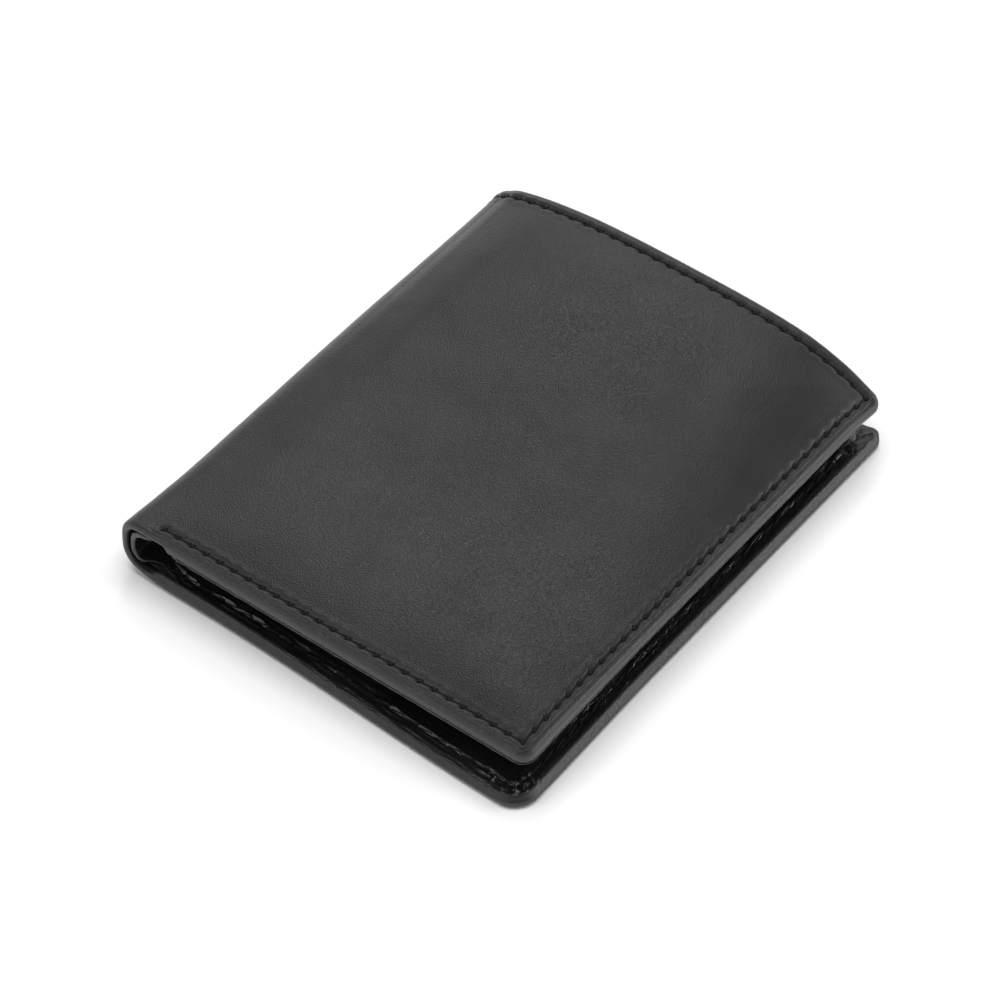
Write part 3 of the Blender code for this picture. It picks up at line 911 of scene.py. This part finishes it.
def film_material():
    """Clear window film, with faint handling marks in its gloss."""
    material, tree, shader, coordinates = new_material("clear_film")
    marks = noise(tree, 380.0, 4.0, 0.6, coordinates)
    tree.links.new(ramp(tree, marks.outputs["Fac"], 0.35, 0.75, 0.06, 0.22),
                   shader.inputs["Roughness"])
    tree.links.new(add_bump(tree, marks.outputs["Fac"], 0.05, 0.0001), shader.inputs["Normal"])
    shader.inputs["Base Color"].default_value = (0.95, 0.96, 0.97, 1.0)
    shader.inputs["Transmission Weight"].default_value = 1.0
    shader.inputs["IOR"].default_value = 1.45
    return material


def board_material():
    """Bonded leather board: matted fibres."""
    material, tree, shader, coordinates = new_material("bonded_board")
    fibres = noise(tree, 900.0, 5.0, 0.7, coordinates)
    colour_between(tree, shader, fibres.outputs["Fac"], (0.006, 0.006, 0.006), (0.018, 0.017, 0.016))
    tree.links.new(add_bump(tree, fibres.outputs["Fac"], 0.4, 0.0001), shader.inputs["Normal"])
    shader.inputs["Roughness"].default_value = 0.85
    return material


# ---------------------------------------------------------------- stage


FLOOR_SIZE = 6.0
FLOOR_Z = -0.05 * MM
CAMERA_AZIMUTH, CAMERA_ELEVATION = math.radians(37.61), math.radians(48.19)
CAMERA_TARGET = Vector((-0.00194, 0.00079, 0.0))
CAMERA_DISTANCE = 1.0848
FOCAL_LENGTH_MM, SENSOR_MM = 196.96, 36.0


def make_stage():
    """A pale floor, and a white sky that is bright near the horizon and dim overhead."""
    material, tree, shader, coordinates = new_material("pale_floor")
    tone = noise(tree, 8.0, 2.0, 0.5, coordinates)
    colour_between(tree, shader, tone.outputs["Fac"], (0.90, 0.90, 0.90), (0.92, 0.92, 0.92))
    shader.inputs["Roughness"].default_value = 0.9
    bpy.ops.mesh.primitive_plane_add(size=FLOOR_SIZE, location=(0.0, 0.0, FLOOR_Z))
    floor = bpy.context.object
    floor.name = "floor"
    floor.data.materials.append(material)
    world = bpy.data.worlds.new("studio")
    world.use_nodes = True
    nodes, links = world.node_tree.nodes, world.node_tree.links
    direction = nodes.new("ShaderNodeTexCoord").outputs["Generated"]
    split = nodes.new("ShaderNodeSeparateXYZ")
    links.new(direction, split.inputs["Vector"])
    strength = ramp(world.node_tree, split.outputs["Z"], 0.12, 0.5, 1.0, 0.12)
    nodes["Background"].inputs["Color"].default_value = (1.0, 1.0, 1.0, 1.0)
    links.new(strength, nodes["Background"].inputs["Strength"])
    bpy.context.scene.world = world
    bpy.context.scene.view_settings.view_transform = "Standard"


def add_area_light(name, location, size, power, glossy=True):
    """A square softbox that faces the wallet. Where glossy is off, it gives light but no
    reflection."""
    light = bpy.data.lights.new(name, "AREA")
    light.shape = "SQUARE"
    light.size = size
    light.energy = power
    lamp = bpy.data.objects.new(name, light)
    lamp.location = location
    lamp.rotation_euler = (-Vector(location)).to_track_quat("-Z", "Y").to_euler()
    lamp.visible_glossy = glossy
    bpy.context.scene.collection.objects.link(lamp)


def make_camera():
    """A long lens, looking down on the wallet over its near open corner."""
    level = math.cos(CAMERA_ELEVATION)
    back = Vector((math.sin(CAMERA_AZIMUTH) * level, -math.cos(CAMERA_AZIMUTH) * level,
                   math.sin(CAMERA_ELEVATION)))
    camera = bpy.data.cameras.new("camera")
    camera.sensor_width = SENSOR_MM
    camera.lens = FOCAL_LENGTH_MM
    camera.clip_start, camera.clip_end = 0.05, 20.0
    holder = bpy.data.objects.new("camera", camera)
    holder.location = CAMERA_TARGET + back * CAMERA_DISTANCE
    holder.rotation_euler = (-back).to_track_quat("-Z", "Y").to_euler()
    bpy.context.scene.collection.objects.link(holder)
    bpy.context.scene.camera = holder


make_camera()
make_stage()
add_area_light("overhead", (0.0, 0.1, 1.5), 1.2, 21.0, glossy=False)
add_area_light("back_soft", (-0.65, 0.84, 1.19), 0.44, 3.1)
add_area_light("right_soft", (1.15, 0.82, 0.62), 0.9, 8.5)
add_area_light("left_soft", (-0.65, -0.98, 1.07), 0.8, 3.8)

outer_leather = leather_material("outer_leather", (0.016, 0.016, 0.0163), (0.022, 0.022, 0.0223),
                                 0.29, 0.40, 0.8, 0.5)
inner_leather = leather_material("inner_leather", (0.008, 0.008, 0.0081), (0.014, 0.014, 0.0142),
                                 0.16, 0.28, 0.5, 0.9)
thread = thread_material()
lining = fabric_material()
film = film_material()
board = board_material()

# the stiffeners and the film are CAD nodes that stay in view; every other node is replaced
for name, node in frame["nodes"].items():
    finish = board if "stiffener" in name else film if "film" in name else inner_leather
    node.data.materials.clear()
    node.data.materials.append(finish)


# ---------------------------------------------------------------- the pieces


def bend(piece):
    """Bake the piece's placement into its mesh."""
    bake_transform(piece)


def stands_for(half, half_node, spine_node):
    """The CAD nodes a bent piece replaces: the half's own and, on the back, the spine's."""
    return [f"{half.name}_{half_node}"] + ([spine_node] if half is BACK else [])


def build_outside(half):
    """The outer leather and its edge seam."""
    shell = make_shell(half, outer_leather)
    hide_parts(*stands_for(half, "cover", "spine_cover"))
    bend(shell)

    def outer_face(u, v):
        return outer_face_depth(half, u, v, u, v, pits=False)

    holes, _ = holes_along(seam_path(half))
    seam = make_seam(f"{half.name}_edge_seam", half, holes, outer_face, thread)
    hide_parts(*stands_for(half, "edge_stitching", "spine_hem_stitching"))
    bend(seam)


def build_compartment(half):
    """The banknote compartment: the cover's lining, and the wall that folds with it."""
    near_inset = 2.2 * MM
    cloth_u = (0.0, half.open_u - near_inset)
    cloth_v = (NEAR_Y + near_inset, PANEL_MOUTH_V)
    cloth = make_sheet(f"{half.name}_lining", half, cloth_u, cloth_v, lining_depth,
                       CLOTH_THICKNESS, lining, follow=1.0)
    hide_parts(*stands_for(half, "cover_lining", "spine_lining"))
    bend(cloth)

    step_u = half.u_of(STEP_X[half.name])
    wall = make_sheet(f"{half.name}_bill_divider", half, (0.0, half.open_u - 3.4 * MM),
                      (NEAR_Y + 0.5 * MM, MOUTH_Y - 2.5 * MM), wall_depth, WALL_THICKNESS,
                      inner_leather, relief=wall_relief,
                      slide=tucked_in(step_u - 5.0 * MM, step_u, 2.9 * MM, 25 * MM))
    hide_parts(*stands_for(half, "bill_wall", "spine_bill_wall"))
    bend(wall)


def build_pockets(half):
    """The inner panel, the pocket lining, the card strips and the inner seam."""
    start_u = half.u_of(FOLD_X + 0.6 * MM)
    inset, corner = (1.25 * MM, 4 * MM) if half is BACK else (0.15 * MM, 3 * MM)
    panel = make_sheet(f"{half.name}_inner_panel", half, (start_u, half.open_u - inset),
                       (NEAR_Y + inset, PANEL_MOUTH_V), panel_depth(half), PANEL_THICKNESS,
                       inner_leather, corner=corner, step=1.5 * MM, fine=10 * MM,
                       fine_step=0.33 * MM, relief=panel_relief(half, 11),
                       slide=tucked_in(start_u + 6 * MM, start_u, 1.8 * MM, 20 * MM))
    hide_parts(f"{half.name}_card_panel")
    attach(panel, half.body)

    low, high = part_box(f"{half.name}_pocket_backing")
    backing_u = (half.u_of(low.x), half.u_of(high.x) - 5 * MM)
    backing_v = (low.y + 6 * MM, MOUTH_Y - 9 * MM)
    backing = make_sheet(f"{half.name}_pocket_lining", half, backing_u, backing_v,
                         flat_at(POCKET_LINING_DEPTH), CLOTH_THICKNESS, lining, corner=2 * MM)
    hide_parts(f"{half.name}_pocket_backing")
    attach(backing, half.body)

    for number, (node, (x0, x1), (bottom, mouth)) in enumerate(strip_boxes(half)):
        foot = max(bottom, NEAR_Y + 7 * MM)
        strip = make_sheet(f"{half.name}_card_strip_{number + 1}", half,
                           (half.u_of(x0), half.u_of(x1) - 1.3 * MM), (foot, mouth),
                           strip_depth(half, bottom, mouth), STRIP_THICKNESS, inner_leather,
                           corner=1.5 * MM, step=1.5 * MM, fine=3 * MM, fine_step=0.3 * MM,
                           relief=strip_relief(mouth, 30 + number))
        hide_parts(node)
        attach(strip, half.body)

    path = seam_path(half, INNER_SEAM_INSET, far_v=MOUTH_Y - 7.5 * MM, end_u=start_u + 2 * MM)
    holes, _ = holes_along(path)
    inner_face = flat_at(PANEL_DEPTH + PANEL_THICKNESS - 0.2 * MM)
    seam = make_seam(f"{half.name}_inner_seam", half, holes, inner_face, thread, inward=-1.0,
                     follow=0.0, plugs=False)
    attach(seam, half.body)


def build_window():
    """The leather surround of the identity card's window."""
    window = make_window_frame("id_window_surround", BACK, *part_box("id_window_frame"),
                               inner_leather)
    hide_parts("id_window_frame")
    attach(window, "back_half")


for half in (FRONT, BACK):
    build_outside(half)
    build_compartment(half)
    build_pockets(half)
build_window()
